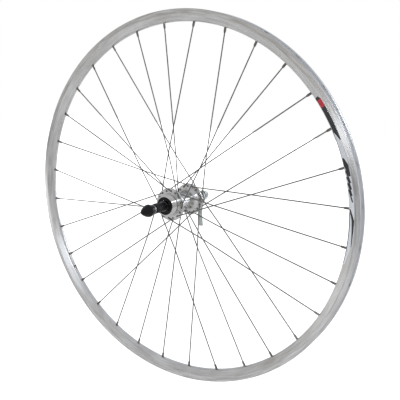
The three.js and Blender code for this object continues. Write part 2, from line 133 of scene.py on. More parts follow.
def skinned(rings, looped=False):
    """A closed mesh through rings of points.

    Looped, the last ring joins the first. Otherwise both ends are capped. Points that fall together are
    merged, such as those that an outline has on the axle.
    """
    count = len(rings[0])
    points = [point for ring in rings for point in ring]
    faces = []
    for i in range(len(rings) if looped else len(rings) - 1):
        here, there = i * count, (i + 1) % len(rings) * count
        for j in range(count):
            k = (j + 1) % count
            faces.append((here + j, here + k, there + k, there + j))
    if not looped:
        faces.append(tuple(range(count)))
        faces.append(tuple(range(len(points) - count, len(points))))
    mesh = bpy.data.meshes.new("part")
    mesh.from_pydata([Vector(point) * MM for point in points], [], faces)
    work = bmesh.new()
    work.from_mesh(mesh)
    bmesh.ops.remove_doubles(work, verts=work.verts, dist=MERGE_DISTANCE)
    bmesh.ops.delete(work, geom=[edge for edge in work.edges if edge.is_wire], context="EDGES")
    bmesh.ops.recalc_face_normals(work, faces=work.faces)
    work.to_mesh(mesh)
    work.free()
    return mesh


def eased(corners, steps=4):
    """Points along straight lines between (corner, reach) pairs.

    A curve eases each corner that has a reach, and starts that far from it. An open line's ends have none.
    """
    points = []
    for i, (corner, reach) in enumerate(corners):
        if not reach:
            points.append(corner)
            continue
        back = corners[i - 1][0] - corner
        ahead = corners[(i + 1) % len(corners)][0] - corner
        reach = min(reach, 0.49 * back.length, 0.49 * ahead.length)
        start = corner + back.normalized() * reach
        end = corner + ahead.normalized() * reach
        for step in range(steps + 1):
            t = step / steps
            points.append(start * (1 - t) ** 2 + corner * 2 * t * (1 - t) + end * t * t)
    return points


def outline(*corners, steps=4):
    """A closed outline from (radius, y) or (radius, y, fillet) corners."""
    return eased([(Vector(c[:2]), c[2] if len(c) > 2 else 0) for c in corners], steps)


def mirrored(corners):
    """The freewheel side's corners as the other side's."""
    return [(c[0], BEARING_MIRROR - c[1], *c[2:]) for c in corners]


def turned(points, segments, warp=None):
    """A closed mesh turned about the axle from an outline. warp moves each (radius, y) by its angle."""
    rings = []
    for i in range(segments):
        degrees = 360 * i / segments
        ring = []
        for radius, y in points:
            if warp:
                radius, y = warp(radius, y, degrees)
            ring.append(polar(radius, degrees, y))
        rings.append(ring)
    return skinned(rings, looped=True)


def swept(path, radii, sides):
    """A closed mesh round a path, one radius for each of its points."""
    last = len(path) - 1
    heading = [(path[min(i + 1, last)] - path[max(i - 1, 0)]).normalized() for i in range(last + 1)]
    side = heading[0].orthogonal().normalized()
    rings = []
    for i, (place, radius) in enumerate(zip(path, radii)):
        if i:
            side = heading[i - 1].rotation_difference(heading[i]) @ side
        across = heading[i].cross(side)
        turns = [2 * math.pi * k / sides for k in range(sides)]
        rings.append([place + (side * math.cos(t) + across * math.sin(t)) * radius for t in turns])
    return skinned(rings)


def stood(mesh, place, direction):
    """The mesh moved so that its axis starts at a place and points along a direction."""
    turn = AXLE.rotation_difference(direction).to_matrix().to_4x4()
    mesh.transform(Matrix.Translation(place * MM) @ turn)
    return mesh


def joined(meshes):
    """The meshes as one."""
    work = bmesh.new()
    for mesh in meshes:
        work.from_mesh(mesh)
    mesh = bpy.data.meshes.new("part")
    work.to_mesh(mesh)
    work.free()
    return mesh


def evaluated(mesh, *modifiers):
    """The mesh after (type, settings) modifiers."""
    holder = bpy.data.objects.new("stock", mesh)
    bpy.context.collection.objects.link(holder)
    for kind, settings in modifiers:
        modifier = holder.modifiers.new(kind.lower(), kind)
        for key, value in settings.items():
            setattr(modifier, key, value)
    depsgraph = bpy.context.evaluated_depsgraph_get()
    result = bpy.data.meshes.new_from_object(holder.evaluated_get(depsgraph))
    bpy.data.objects.remove(holder)
    return result


def carved(mesh, tool, operation="DIFFERENCE"):
    """The mesh with the tool cut away, or joined or kept in common."""
    cutter = bpy.data.objects.new("tool", tool)
    bpy.context.collection.objects.link(cutter)
    settings = {"object": cutter, "operation": operation, "solver": "MANIFOLD"}
    result = evaluated(mesh, ("BOOLEAN", settings))
    bpy.data.objects.remove(cutter)
    return result


def cylinder(place, direction, start, end, radius, sides=24):
    """A plain cutting cylinder."""
    points = [Vector((0, start)), Vector((radius, start)), Vector((radius, end)), Vector((0, end))]
    return stood(turned(points, sides), place, direction)


def box_mesh(low, high):
    """A plain cutting box between two corners."""
    corners = [(low.x, low.z), (high.x, low.z), (high.x, high.z), (low.x, high.z)]
    return skinned([[Vector((x, y, z)) for x, z in corners] for y in (low.y, high.y)])


def piece(name, mesh, material, body, replaces=(), sharp=35):
    """A finished piece of the visual model. Edges that turn more than sharp degrees stay crisp."""
    mesh.name = name
    mesh.materials.clear()
    mesh.materials.append(material)
    mesh.shade_smooth()
    mesh.set_sharp_from_angle(angle=math.radians(sharp))
    obj = bpy.data.objects.new(name, mesh)
    bpy.context.collection.objects.link(obj)
    obj.modifiers.new("even_normals", "WEIGHTED_NORMAL").keep_sharp = True
    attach(obj, body)
    if replaces:
        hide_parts(*replaces)
    return obj


# ---------------------------------------------------------------- warps used while turning


def thread(radius, start, end, pitch, depth):
    """A warp that cuts a screw thread into what lies at a radius between two heights."""

    def warp(r, y, degrees):
        if abs(r - radius) > 0.01 or not start < y < end:
            return r, y
        fade = min(1, (y - start) / pitch, (end - y) / pitch)
        wave = 0.5 - 0.5 * math.cos(2 * math.pi * (y / pitch + degrees / 360))
        return r - depth * fade * wave, y

    return warp


def threaded_stretch(radius, start, end, pitch, per_turn=8):
    """Outline corners close enough together to carry a thread, from start to end."""
    steps = math.ceil(abs(end - start) / pitch * per_turn)
    return [(radius, start + (end - start) * i / steps) for i in range(steps + 1)]


def hexagon(across_flats):
    """A warp that cuts six flats."""

    def warp(r, y, degrees):
        return min(r, across_flats / 2 / math.cos(math.radians(degrees % 60 - 30))), y

    return warp


def serration(face, inward, inner, outer, teeth, depth):
    """A warp that cuts radial teeth into the ring between two radii of a flat face."""

    def warp(r, y, degrees):
        if abs(y - face) > 0.01 or not inner < r < outer:
            return r, y
        phase = degrees * teeth / 360 % 1
        return r, y + inward * depth * (1 - abs(2 * phase - 1))

    return warp


# ---------------------------------------------------------------- materials


class Finish:
    """A material with one Principled shader, built node by node."""

    def __init__(self, name, **sockets):
        self.material = bpy.data.materials.new(name)
        self.material.use_nodes = True
        self.nodes = self.material.node_tree.nodes
        self.links = self.material.node_tree.links
        self.shader = self.nodes["Principled BSDF"]
        for socket, value in sockets.items():
            self.shader.inputs[socket.replace("_", " ")].default_value = value
        self.place = self.add("ShaderNodeTexCoord").node.outputs["Object"]

    def add(self, kind, *values, named=None, **settings):
        """A new node's first output. Values go to its inputs in order, and named ones by name."""
        node = self.nodes.new(kind)
        for key, value in settings.items():
            setattr(node, key, value)
        for key, value in [*enumerate(values), *(named or {}).items()]:
            if isinstance(value, bpy.types.NodeSocket):
                self.links.new(value, node.inputs[key])
            elif value is not None:
                node.inputs[key].default_value = value
        return node.outputs[0]

    def math(self, operation, *values):
        """The result of one sum."""
        return self.add("ShaderNodeMath", *values, operation=operation)

    def noise(self, scale, vector=None, detail=3.0, roughness=0.55):
        """Noise from 0 to 1, with about scale cells to a metre."""
        inputs = {"Vector": vector or self.place, "Scale": scale, "Detail": detail, "Roughness": roughness}
        return self.add("ShaderNodeTexNoise", named=inputs)

    def ramp(self, value, low, high, start=0.3, end=0.7):
        """A colour that goes from low to high as the value goes from start to end."""
        output = self.add("ShaderNodeValToRGB", value)
        stops = output.node.color_ramp.elements
        stops[0].position, stops[1].position = start, end
        stops[0].color, stops[1].color = (*low, 1), (*high, 1)
        return output

    def mix(self, share, first, second):
        """A colour between two others, each an output or a plain colour."""
        node = self.add("ShaderNodeMix", data_type="RGBA").node
        for index, value in ((0, share), (6, first), (7, second)):
            if isinstance(value, bpy.types.NodeSocket):
                self.links.new(value, node.inputs[index])
            else:
                node.inputs[index].default_value = (*value, 1) if index else value
        return node.outputs[2]

    def scaled(self, value, low, high, start=0.3, end=0.7):
        """A number that goes from low to high as the value goes from start to end."""
        return self.add("ShaderNodeMapRange", value, start, end, low, high)

    def wheel_place(self, lengthwise=0.0):
        """Coordinates that follow a turned face's tool marks, then the radius and y by themselves."""
        split = self.add("ShaderNodeSeparateXYZ", self.place).node.outputs
        radius = self.math("SQRT", self.math("ADD", self.math("MULTIPLY", split[0], split[0]),
                                             self.math("MULTIPLY", split[2], split[2])))
        angle = self.math("MULTIPLY", self.math("ARCTAN2", split[0], split[2]), lengthwise)
        return self.add("ShaderNodeCombineXYZ", radius, split[1], angle), radius, split[1]

    def use(self, colour=None, roughness=None, bump=None, strength=0.2, distance=0.0001):
        """The material, once the outputs given are linked to its shader."""
        inputs = self.shader.inputs
        if colour is not None:
            self.links.new(colour, inputs["Base Color"])
        if roughness is not None:
            self.links.new(roughness, inputs["Roughness"])
        if bump is not None:
            named = {"Strength": strength, "Distance": distance, "Height": bump}
            self.links.new(self.add("ShaderNodeBump", named=named), inputs["Normal"])
        return self.material


def around_axle(finish, anisotropic):
    """Turned metal smears its highlights across the tool marks, which run round the axle.

    The quarter turn sets the smear across the tangent, because the shader by itself smears along it.
    """
    finish.shader.inputs["Anisotropic"].default_value = anisotropic
    finish.shader.inputs["Anisotropic Rotation"].default_value = 0.25
    tangent = finish.add("ShaderNodeTangent", direction_type="RADIAL", axis="Y")
    finish.links.new(tangent, finish.shader.inputs["Tangent"])


def rim_alloy():
    """Drawn and silver-anodised walls, finely machined brake tracks, and a plainer tyre channel in one pale
    tone, which is partly bare aluminium and partly painted light that keeps the hollow from looking shaded.
    """
    finish = Finish("rim_alloy", Metallic=1.0)
    place, radius, y = finish.wheel_place(lengthwise=0.02)
    streaks = finish.noise(420.0, place, detail=4.0, roughness=0.6)
    lines = finish.noise(1500.0, place, detail=1.0)
    cloud = finish.noise(14.0, detail=3.0)
    half_width = finish.math("ABSOLUTE", y)
    wide = finish.math("GREATER_THAN", half_width, (RIM_HALF_WIDTH - 0.08) * MM)
    track = finish.math("MULTIPLY", wide, finish.math("GREATER_THAN", radius, TRACK_START * MM))
    wall = finish.ramp(finish.math("ADD", finish.math("MULTIPLY", streaks, 0.6),
                                   finish.math("MULTIPLY", cloud, 0.4)),
                       (0.58, 0.565, 0.545), (0.82, 0.82, 0.81), start=0.38, end=0.62)
    machined = finish.ramp(streaks, (0.58, 0.57, 0.555), (0.84, 0.84, 0.84), start=0.38, end=0.62)
    inside = finish.math("LESS_THAN", half_width, (CHANNEL_HALF + 0.2) * MM)
    outward = finish.math("GREATER_THAN", radius, (CHANNEL_FLOOR - 0.9) * MM)
    channel = finish.math("MULTIPLY", inside, outward)
    # painted light: the tyre channel gets a flat pale colour, paler than the walls, so it stays bright where
    # light bouncing inside it would leave it in shade
    colour = finish.mix(channel, finish.mix(track, wall, machined), (0.81, 0.82, 0.83))
    rough = finish.math("ADD", finish.scaled(streaks, 0.27, 0.35), finish.math("MULTIPLY", track, -0.10))
    relief = finish.math("MULTIPLY", lines, finish.math("ADD", finish.math("MULTIPLY", track, 0.8), 0.25))
    around_axle(finish, 0.55)
    return finish.use(colour, rough, relief, strength=0.06, distance=0.00003)


def hub_alloy():
    """Polished turned aluminium."""
    finish = Finish("hub_alloy", Metallic=1.0)
    place, _, _ = finish.wheel_place(lengthwise=0.004)
    rings = finish.noise(2600.0, place, detail=4.0, roughness=0.65)
    broad = finish.noise(500.0, place, detail=2.0)
    haze = finish.noise(90.0, detail=4.0)
    colour = finish.ramp(finish.math("ADD", finish.math("MULTIPLY", broad, 0.5),
                                     finish.math("MULTIPLY", haze, 0.5)),
                         (0.60, 0.59, 0.565), (0.84, 0.84, 0.84))
    rough = finish.scaled(haze, 0.17, 0.26)
    around_axle(finish, 0.9)
    return finish.use(colour, rough, rings, strength=0.15, distance=0.00004)


def drawn_steel(name, low, high, roughness, scale=700.0):
    """Wire, washers and small steel parts: drawn or stamped, then tumbled bright."""
    finish = Finish(name, Metallic=1.0)
    grain = finish.noise(scale, detail=4.0, roughness=0.6)
    cloud = finish.noise(scale / 12, detail=3.0)
    colour = finish.ramp(cloud, low, high)
    rough = finish.scaled(grain, roughness - 0.05, roughness + 0.07)
    return finish.use(colour, rough, grain, strength=0.15, distance=0.00005)


def blackened(name, base, worn, roughness, metallic=0.6, ior=1.45):
    """Black-finished metal: even and dark, a little greyer where handling has rubbed it."""
    finish = Finish(name, Metallic=metallic, IOR=ior)
    place, _, _ = finish.wheel_place(lengthwise=0.003)
    rings = finish.noise(1800.0, place, detail=3.0)
    cloud = finish.noise(160.0, detail=5.0, roughness=0.65)
    colour = finish.ramp(cloud, base, worn, start=0.45, end=0.8)
    rough = finish.scaled(cloud, roughness, roughness + 0.12)
    return finish.use(colour, rough, rings, strength=0.2, distance=0.00006)


def moulded_black():
    """Black plastic as it leaves the mould, matt and slightly grained."""
    finish = Finish("black_plastic", IOR=1.46)
    grain = finish.noise(2400.0, detail=3.0)
    cloud = finish.noise(120.0, detail=3.0)
    colour = finish.ramp(cloud, (0.010, 0.010, 0.011), (0.020, 0.020, 0.021))
    rough = finish.scaled(cloud, 0.42, 0.55)
    return finish.use(colour, rough, grain, strength=0.2, distance=0.00008)


def lever_alloy():
    """Cast alloy, barrel-polished: satin with a faint orange peel."""
    finish = Finish("lever_alloy", Metallic=1.0)
    peel = finish.noise(900.0, detail=2.0)
    cloud = finish.noise(70.0, detail=4.0)
    colour = finish.ramp(cloud, (0.56, 0.60, 0.585), (0.68, 0.72, 0.70))
    rough = finish.scaled(cloud, 0.30, 0.40)
    return finish.use(colour, rough, peel, strength=0.12, distance=0.0001)


def vinyl(name, low, high, metallic=0.0):
    """Printed film under a gloss lacquer. The pale film is a silver one, and nearly a metal."""
    finish = Finish(name, Metallic=metallic, Coat_Weight=0.25, Coat_Roughness=0.08, IOR=1.4)
    speckle = finish.noise(2500.0, detail=2.0)
    cloud = finish.noise(60.0, detail=3.0)
    colour = finish.ramp(cloud, low, high)
    rough = finish.scaled(speckle, 0.28, 0.38)
    return finish.use(colour, rough, speckle, strength=0.05, distance=0.00005)


RIM_ALLOY = rim_alloy()
HUB_ALLOY = hub_alloy()
SPOKE_STEEL = drawn_steel("spoke_steel", (0.165, 0.16, 0.155), (0.275, 0.27, 0.26), 0.32)
# partly real plating, partly painted shade: the nickel-plated nipples get a dark brownish grey for the shade
# they sit in under the rim
SHADED_NIPPLE_PLATE = drawn_steel("shaded_nickel_plate", (0.16, 0.145, 0.13), (0.27, 0.25, 0.23), 0.30, scale=1500.0)
STEEL = drawn_steel("steel", (0.34, 0.34, 0.345), (0.50, 0.50, 0.51), 0.26, scale=1200.0)
BRASS = drawn_steel("brass", (0.42, 0.28, 0.10), (0.58, 0.41, 0.17), 0.28, scale=1200.0)
BLACK_STEEL = blackened("black_steel", (0.012, 0.012, 0.013), (0.035, 0.035, 0.037), 0.30)
CONE_STEEL = drawn_steel("cone_steel", (0.10, 0.10, 0.10), (0.18, 0.18, 0.18), 0.20, scale=1200.0)
BLACK_ALLOY = blackened("black_alloy", (0.003, 0.003, 0.004), (0.008, 0.008, 0.010), 0.10,
                        metallic=0.0, ior=1.34)
BLACK_PLASTIC = moulded_black()
LEVER_ALLOY = lever_alloy()
DECAL_BLACK = vinyl("decal_black", (0.012, 0.012, 0.014), (0.022, 0.022, 0.024))
DECAL_PALE = vinyl("decal_pale", (0.87, 0.90, 0.94), (0.92, 0.95, 0.99), metallic=0.8)
DECAL_RED = vinyl("decal_red", (0.52, 0.012, 0.03), (0.66, 0.02, 0.045))

# ---------------------------------------------------------------- spokes and nipples

WIRE_GAP = 0.03  # between two spokes where they cross
FLANGE_GAP = 0.05  # between a spoke and the flange that it lies on
SPOKE_HEAD = [(1.25, 0.05), (1.22, 0.6), (1.08, 1.15), (0.8, 1.6), (0.45, 1.85), (0.15, 1.9),
              (0.0, 1.82)]  # (height above the flange, radius)
SPOKE_END = 1.5  # how far the wire stops below its nipple's top
NIPPLE_BORE = 1.06
NIPPLE_TIP_RADIUS = 1.62
SHANK_SPAN = (-6.4, 1.2)  # the nipple's square, from the rim's bed
SHANK_RADIUS = 1.98
SCREW_SLOT = (0.9, 1.0)  # width, depth


def spoke_line(k):
    """Where spoke number k runs: flange hole, rim hole, elbow side (a sign of y) and outermost crossing."""
    drive = k % 2 == 0
    outside = k % 4 >= 2
    outward = -1 if drive else 1
    rim_angle = FIRST_SPOKE + k * SPOKE_STEP
    hub_angle = rim_angle + (-HUB_SWEEP if outside else HUB_SWEEP)
    hole = polar(HOLE_CIRCLE, hub_angle, DRIVE_FLANGE if drive else OTHER_FLANGE)
    rim_hole = polar(RIM_BED, rim_angle)
    elbow_side = outward if outside else -outward
    hub_reach = HOLE_CIRCLE * math.sin(math.radians(HUB_SWEEP - SPOKE_STEP))
    rim_reach = RIM_BED * math.sin(math.radians(SPOKE_STEP))
    crossing = hole.lerp(rim_hole, hub_reach / (hub_reach + rim_reach))
    crossing.y -= elbow_side * (SPOKE_RADIUS + WIRE_GAP)
    return hole, rim_hole, elbow_side, crossing


def spoke_mesh(k):
    """A round wire from its domed head, through the flange, round its elbow and out into its nipple."""
    hole, rim_hole, elbow_side, crossing = spoke_line(k)
    side = Vector((0, elbow_side, 0))
    flat = rim_hole - hole
    flat.y = 0
    lift = FLANGE_HALF + SPOKE_RADIUS + FLANGE_GAP
    toward_rim = (rim_hole - crossing).normalized()
    end = rim_hole + toward_rim * (NIPPLE_TOP - RIM_BED - SPOKE_END)
    seat = hole - side * FLANGE_HALF
    corner = hole + side * lift
    wire = eased([(seat + side * FLANGE_GAP, 0), (corner, 1.9),
                  (corner + flat.normalized() * ELBOW_RUN, 3.0), (crossing, 6.0), (end, 0)], steps=6)
    path = [seat - side * height for height, _ in SPOKE_HEAD] + wire
    radii = [radius for _, radius in SPOKE_HEAD] + [SPOKE_RADIUS] * len(wire)
    return swept(path, radii, 14)


def nipple_stock():
    """A nipple on the axle's line: round tip, square shank, domed and slotted head.

    It is stood in each rim hole later, so here y is 0 at the rim's bed.
    """
    tip, top = NIPPLE_TIP - RIM_BED, NIPPLE_TOP - RIM_BED
    low, high = SHANK_SPAN

    def square(r, y, degrees):
        if not low <= y <= high:
            return r, y
        return min(r, NIPPLE_TIP_RADIUS / math.cos(math.radians((degrees + 45) % 90 - 45))), y

    points = outline((NIPPLE_BORE, tip), (NIPPLE_TIP_RADIUS, tip, 0.25), (NIPPLE_TIP_RADIUS, low - 0.15),
                     (SHANK_RADIUS, low + 0.2), (SHANK_RADIUS, high - 0.1), (1.85, high + 0.2),
                     (1.85, 2.6), (2.95, 2.7, 0.3), (2.7, 4.2, 0.5), (1.5, top, 0.6), (NIPPLE_BORE, top))
    width, depth = SCREW_SLOT
    slot = box_mesh(Vector((-4, top - depth, -width / 2)), Vector((4, top + 1, width / 2)))
    return carved(turned(points, 32, square), slot)


def add_spokes():
    """Every spoke, and a nipple on its end that points along it."""
    stock = nipple_stock()
    for k in range(SPOKES):
        number = f"{k + 1:02d}"
        piece(f"spoke_wire_{number}", spoke_mesh(k), SPOKE_STEEL, "wheel",
              [f"spoke_{number}"], sharp=50)
        _, rim_hole, _, crossing = spoke_line(k)
        nipple = stood(stock.copy(), rim_hole, (rim_hole - crossing).normalized())
        piece(f"nipple_{number}", nipple, SHADED_NIPPLE_PLATE, "wheel")


# ---------------------------------------------------------------- rim

RIM_SEGMENTS = 288
BEND_SHARE = 0.47  # where the wall's bend lies between the bed (0) and the brake track (1)
VALVE_RADIUS = 4.2
NIPPLE_HOLE = 2.25
NIPPLE_ACCESS = 4.3  # the wider hole above it, that lets a nipple in

# each film: its start and end angles, its inner edge's shares at those angles, and its outer edge's shares
RED_BLOCK = (308.5, 306.2, (0.06, 0.06), (0.95, 0.97))
BLACK_DARTS = [
    (309.4, 308.5, (0.05, 0.05), (0.60, 0.95)),
    (306.2, 299.2, (0.06, 0.10), (0.97, 0.98)),
    (299.2, 296.4, (0.10, 0.80), (0.98, 0.98)),
    (299.2, 291.6, (0.03, 0.03), (0.12, 0.08)),
    (291.6, 289.6, (0.05, 0.05), (0.40, 0.97)),
    (289.6, 286.6, (0.05, 0.60), (0.97, 0.98)),
    (277.8, 274.8, (0.04, 0.45), (0.26, 0.98)),
    (274.8, 267.5, (0.45, 0.76), (0.98, 0.84)),
    (276.8, 262.4, (0.03, 0.03), (0.17, 0.08)),
]
PALE_FIELD = [
    (306.2, 270.0, (0.03, 0.03), (0.99, 0.97)),
    (270.0, 262.2, (0.03, 0.03), (0.97, 0.25)),
]
STROKES = 4
FIRST_STROKE = 288.2
STROKE_STEP = 1.7
STROKE_RUN = 3.4  # degrees from a stroke's start to its end
STROKE_EDGES = ((0.06, 0.58), (0.32, 0.86))
FILM_STEP = 0.5  # degrees from one ring of a film to the next
FILM_ACROSS = 6
FILM_SUNK = 0.15  # how deep a film's back lies in the wall
FILM_PROUD = 0.09
PALE_PROUD = 0.05  # the pale film lies under the others


def both_walls(half):
    """One wall's (radius, width, ...) corners, then the other wall's on the way back."""
    return half + [(radius, -width, *rest) for radius, width, *rest in reversed(half)]


def rim_mesh():
    """A box-section clincher rim: bed, sloped walls, machined brake tracks, hooked tyre channel."""
    slope_fillets = (1.0, 2.5, 0.2)
    skin = both_walls([
        (RIM_BED, 1.9, 1.2),
        *[(*corner, fillet) for corner, fillet in zip(RIM_SLOPE, slope_fillets)],
        (TRACK_START, 10.45, 0.1), (TRACK_START + 0.25, RIM_HALF_WIDTH, 0.1),
        (RIM_RADIUS, RIM_HALF_WIDTH, 0.8), (RIM_RADIUS, 9.3, 0.45),
        (315.2, 8.6, 0.5), (314.0, CHANNEL_HALF, 0.4), (311.0, CHANNEL_HALF, 0.5),
        (310.55, 7.2, 0.6), (CHANNEL_FLOOR, 4.6, 1.5)])
    hollow = both_walls([(299.6, 3.2, 0.8), (308.4, 8.95, 0.5), (309.1, 7.6, 0.4), (305.9, 4.4, 0.8)])
    body = turned(outline(*skin, steps=3), RIM_SEGMENTS)
    body = carved(body, turned(outline(*hollow, steps=3), RIM_SEGMENTS))
    drills = []
    for k in range(SPOKES):
        _, rim_hole, _, crossing = spoke_line(k)
        along = (rim_hole - crossing).normalized()
        drills.append(cylinder(rim_hole, along, -4, 5, NIPPLE_HOLE))
        drills.append(cylinder(rim_hole, along, 6, 16, NIPPLE_ACCESS))
    drills.append(cylinder(Vector(), polar(1, VALVE_ANGLE), RIM_BED - 5, RIM_RADIUS, VALVE_RADIUS))
    return carved(body, joined(drills))


def slope_place(share, lift, degrees, side):
    """A place on a rim wall: share runs from the bed's edge (0) to the brake track (1)."""
    first, bend, last = [Vector(corner) for corner in RIM_SLOPE]
    if share < BEND_SHARE:
        start, end, along = first, bend, share / BEND_SHARE
    else:
        start, end, along = bend, last, (share - BEND_SHARE) / (1 - BEND_SHARE)
    radius, width = start.lerp(end, along)
    heading = (end - start).normalized()
    radius, width = radius - heading.y * lift, width + heading.x * lift
    return polar(radius, degrees, side * width)


def between(ends, t):
    """A number that goes from the first end to the second as t goes from 0 to 1."""
    return ends[0] + (ends[1] - ends[0]) * t


def wall_film(side, film, proud=FILM_PROUD):
    """A thin printed film on one of the rim's walls."""
    start, end, low, high = film
    stations = max(2, math.ceil(abs(end - start) / FILM_STEP))
    rings = []
    for i in range(stations + 1):
        t = i / stations
        degrees = between((start, end), t)
        edges = (between(low, t), between(high, t))
        shares = [between(edges, j / FILM_ACROSS) for j in range(FILM_ACROSS + 1)]
        ring = [slope_place(share, proud, degrees, side) for share in shares]
        ring += [slope_place(share, -FILM_SUNK, degrees, side) for share in reversed(shares)]
        rings.append(ring)
    return skinned(rings)


def add_films(side, label):
    """The films on one wall: a pale field, a red block, and black darts with slanted strokes between them."""
    starts = [FIRST_STROKE - STROKE_STEP * i for i in range(STROKES)]
    strokes = [(start, start - STROKE_RUN, *STROKE_EDGES) for start in starts]
    pale = joined([wall_film(side, film, PALE_PROUD) for film in PALE_FIELD])
    black = joined([wall_film(side, film) for film in BLACK_DARTS + strokes])
    piece(f"{label}_decal_pale", pale, DECAL_PALE, "wheel")
    piece(f"{label}_decal_black", black, DECAL_BLACK, "wheel")
    piece(f"{label}_decal_red", wall_film(side, RED_BLOCK), DECAL_RED, "wheel")


def add_rim():
    """The rim and the films on both its walls."""
    piece("rim_extrusion", rim_mesh(), RIM_ALLOY, "wheel", ["rim"], sharp=30)
    add_films(-1, "drive")
    add_films(1, "other")


# ---------------------------------------------------------------- hub shell and bearings

SHELL_SEGMENTS = 160
THREAD_RADIUS = 17.3
THREAD_SPAN = (-35.9, -26.0)
THREAD_PITCH = 25.4 / 24
THREAD_DEPTH = 0.62
THREAD_RELIEF = 16.5  # the groove between the thread and its shoulder
SHELL_LIP = 16.3
BARREL_RADIUS = 13.8
FLANGE_FOOT = 19.5  # where the barrel's flare meets a flange
FLANGE_FACE = 27.3  # where a flange's flat faces end and its edge starts to round
SPOKE_HOLE = 1.45
SPOKE_COUNTERSINK = 1.9

# profiles of the freewheel side's rings, as (radius, y) or (radius, y, fillet)
POCKET = [(15.2, SHELL_START, 0.15), (15.2, -35.4), (14.05, -35.4), (14.05, -25.6), (6.8, -25.6)]
CUP = [(13.75, -35.1, 0.3), (13.75, -25.9, 0.4), (7.3, -25.9, 0.3), (7.3, -27.2, 0.3),
       (9.4, -27.2, 1.2), (11.6, -28.0, 1.2), (13.0, -30.0, 1.2), (13.0, -35.1, 0.2)]
DUST_CAP = [(9.75, -36.0, 0.1), (9.75, -36.9, 0.2), (10.6, -36.9, 0.2), (10.95, -36.5, 0.2),
            (13.3, -36.5, 0.3), (13.8, -36.9, 0.3), (15.0, -36.9, 0.35), (15.0, -35.7, 0.2),
            (10.4, -35.7, 0.3)]
CONE = [(SLEEVE_BORE, -27.5, 0.2), (5.8, -27.5, 0.2), (5.8, -31.4, 0.5), (6.7, -33.6, 0.8),
        (9.0, -34.9, 0.4), (9.0, -38.55), (9.0, -38.65), (9.0, -42.0, 0.45), (SLEEVE_BORE, -42.0, 0.2)]
SPANNER_FLATS = 3.4  # how much of a cone's outer end they take
SPANNER_HALF = 7.5  # half the distance across them


def flange_edge(y):
    """The bevelled edge of the flange whose middle is at y."""
    drop = 0.6
    return [(FLANGE_FACE, y - FLANGE_HALF, 0.4), (FLANGE_RADIUS, y - FLANGE_HALF + drop, 0.5),
            (FLANGE_RADIUS, y + FLANGE_HALF - drop, 0.5), (FLANGE_FACE, y + FLANGE_HALF, 0.4)]


def hub_mesh():
    """The one-piece shell: freewheel thread and shoulder, drilled flanges, waisted barrel, two pockets."""
    corners = [
        (SHELL_LIP, SHELL_START, 0.2), (THREAD_RADIUS, THREAD_SPAN[0] - 0.2),
        *threaded_stretch(THREAD_RADIUS, *THREAD_SPAN, THREAD_PITCH),
        (THREAD_RADIUS, -25.8), (THREAD_RELIEF, -25.6, 0.15), (THREAD_RELIEF, -24.8, 0.1),
        (19.6, -24.8, 0.5), (19.6, -22.0, 0.9), *flange_edge(DRIVE_FLANGE),
        (FLANGE_FOOT, -19.0, 3.2), (14.6, -14.0, 3.0), (BARREL_RADIUS, -6.0, 5.0),
        (BARREL_RADIUS, 24.0, 5.0), (14.6, 31.0, 3.0), (FLANGE_FOOT, 36.0, 3.2),
        *flange_edge(OTHER_FLANGE), (19.0, 39.0, 1.2), (17.0, 40.6, 0.8), (17.0, 42.8, 0.4),
        (SHELL_LIP, SHELL_END, 0.2), *mirrored(POCKET), *reversed(POCKET)]
    warp = thread(THREAD_RADIUS, *THREAD_SPAN, THREAD_PITCH, THREAD_DEPTH)
    body = turned(outline(*corners), SHELL_SEGMENTS, warp)
    countersink = [(SPOKE_COUNTERSINK, 2.4), (SPOKE_COUNTERSINK, 1.55), (SPOKE_HOLE, 1.1)]
    profile = outline((0, -2.4), *[(radius, -y) for radius, y in countersink],
                      *reversed(countersink), (0, 2.4))
    holes = [stood(turned(profile, 24), spoke_line(k)[0], AXLE) for k in range(SPOKES)]
    return carved(body, joined(holes))


def bearing_mesh(y):
    """A ring of balls in a thin pressed cage."""
    steps = 14
    arc = [Vector((BALL_RADIUS * math.sin(math.pi * i / steps), BALL_RADIUS * math.cos(math.pi * i / steps)))
           for i in range(steps + 1)]
    balls = [stood(turned(arc, 28), polar(BALL_CIRCLE, 360 * i / BALLS, y), AXLE) for i in range(BALLS)]
    cage = outline((8.7, y - 0.9, 0.2), (10.2, y - 0.9, 0.2), (10.2, y + 0.9, 0.2), (8.7, y + 0.9, 0.2))
    return joined([turned(cage, 72), *balls])


def spanner_flats(outer_end):
    """A warp that cuts two flats across a cone's outer end."""
    start = outer_end + (SPANNER_FLATS if outer_end < 0 else -SPANNER_FLATS)

    def warp(r, y, degrees):
        if abs(y) < abs(start):
            return r, y
        return min(r, SPANNER_HALF / max(abs(math.sin(math.radians(degrees))), 0.1)), y

    return warp


def add_hub():
    """The shell, and at each end of it a cone, a cup, a dust cap and a ring of balls."""
    piece("hub_body", hub_mesh(), HUB_ALLOY, "wheel", ["hub_shell"], sharp=32)
    for side, place in (("drive", list), ("non_drive", mirrored)):
        cone_end = place(CONE)[-1][1]
        cone = turned(outline(*place(CONE)), 120, spanner_flats(cone_end))
        piece(f"{side}_cone_turned", cone, CONE_STEEL, "axle", [f"{side}_cone"])
        piece(f"{side}_cup_pressed", turned(outline(*place(CUP)), 96), STEEL, "wheel",
              [f"{side}_cup"])
        piece(f"{side}_cap_pressed", turned(outline(*place(DUST_CAP)), 120), BLACK_STEEL, "wheel",
              [f"{side}_dust_cap"])
        low, high = span(f"{side}_bearing")
        piece(f"{side}_balls", bearing_mesh((low + high) / 2), STEEL, f"{side}_cage",
              [f"{side}_bearing"])


# ---------------------------------------------------------------- axle and its rings


def sleeve(node, edge=0.35):
    """A plain ring on the axle with broken edges, as large as its CAD node."""
    radius, (low, high) = outer_radius(node), span(node)
    points = outline((SLEEVE_BORE, low, 0.2), (radius, low, edge), (radius, high, edge),
                     (SLEEVE_BORE, high, 0.2))
    return turned(points, 96)


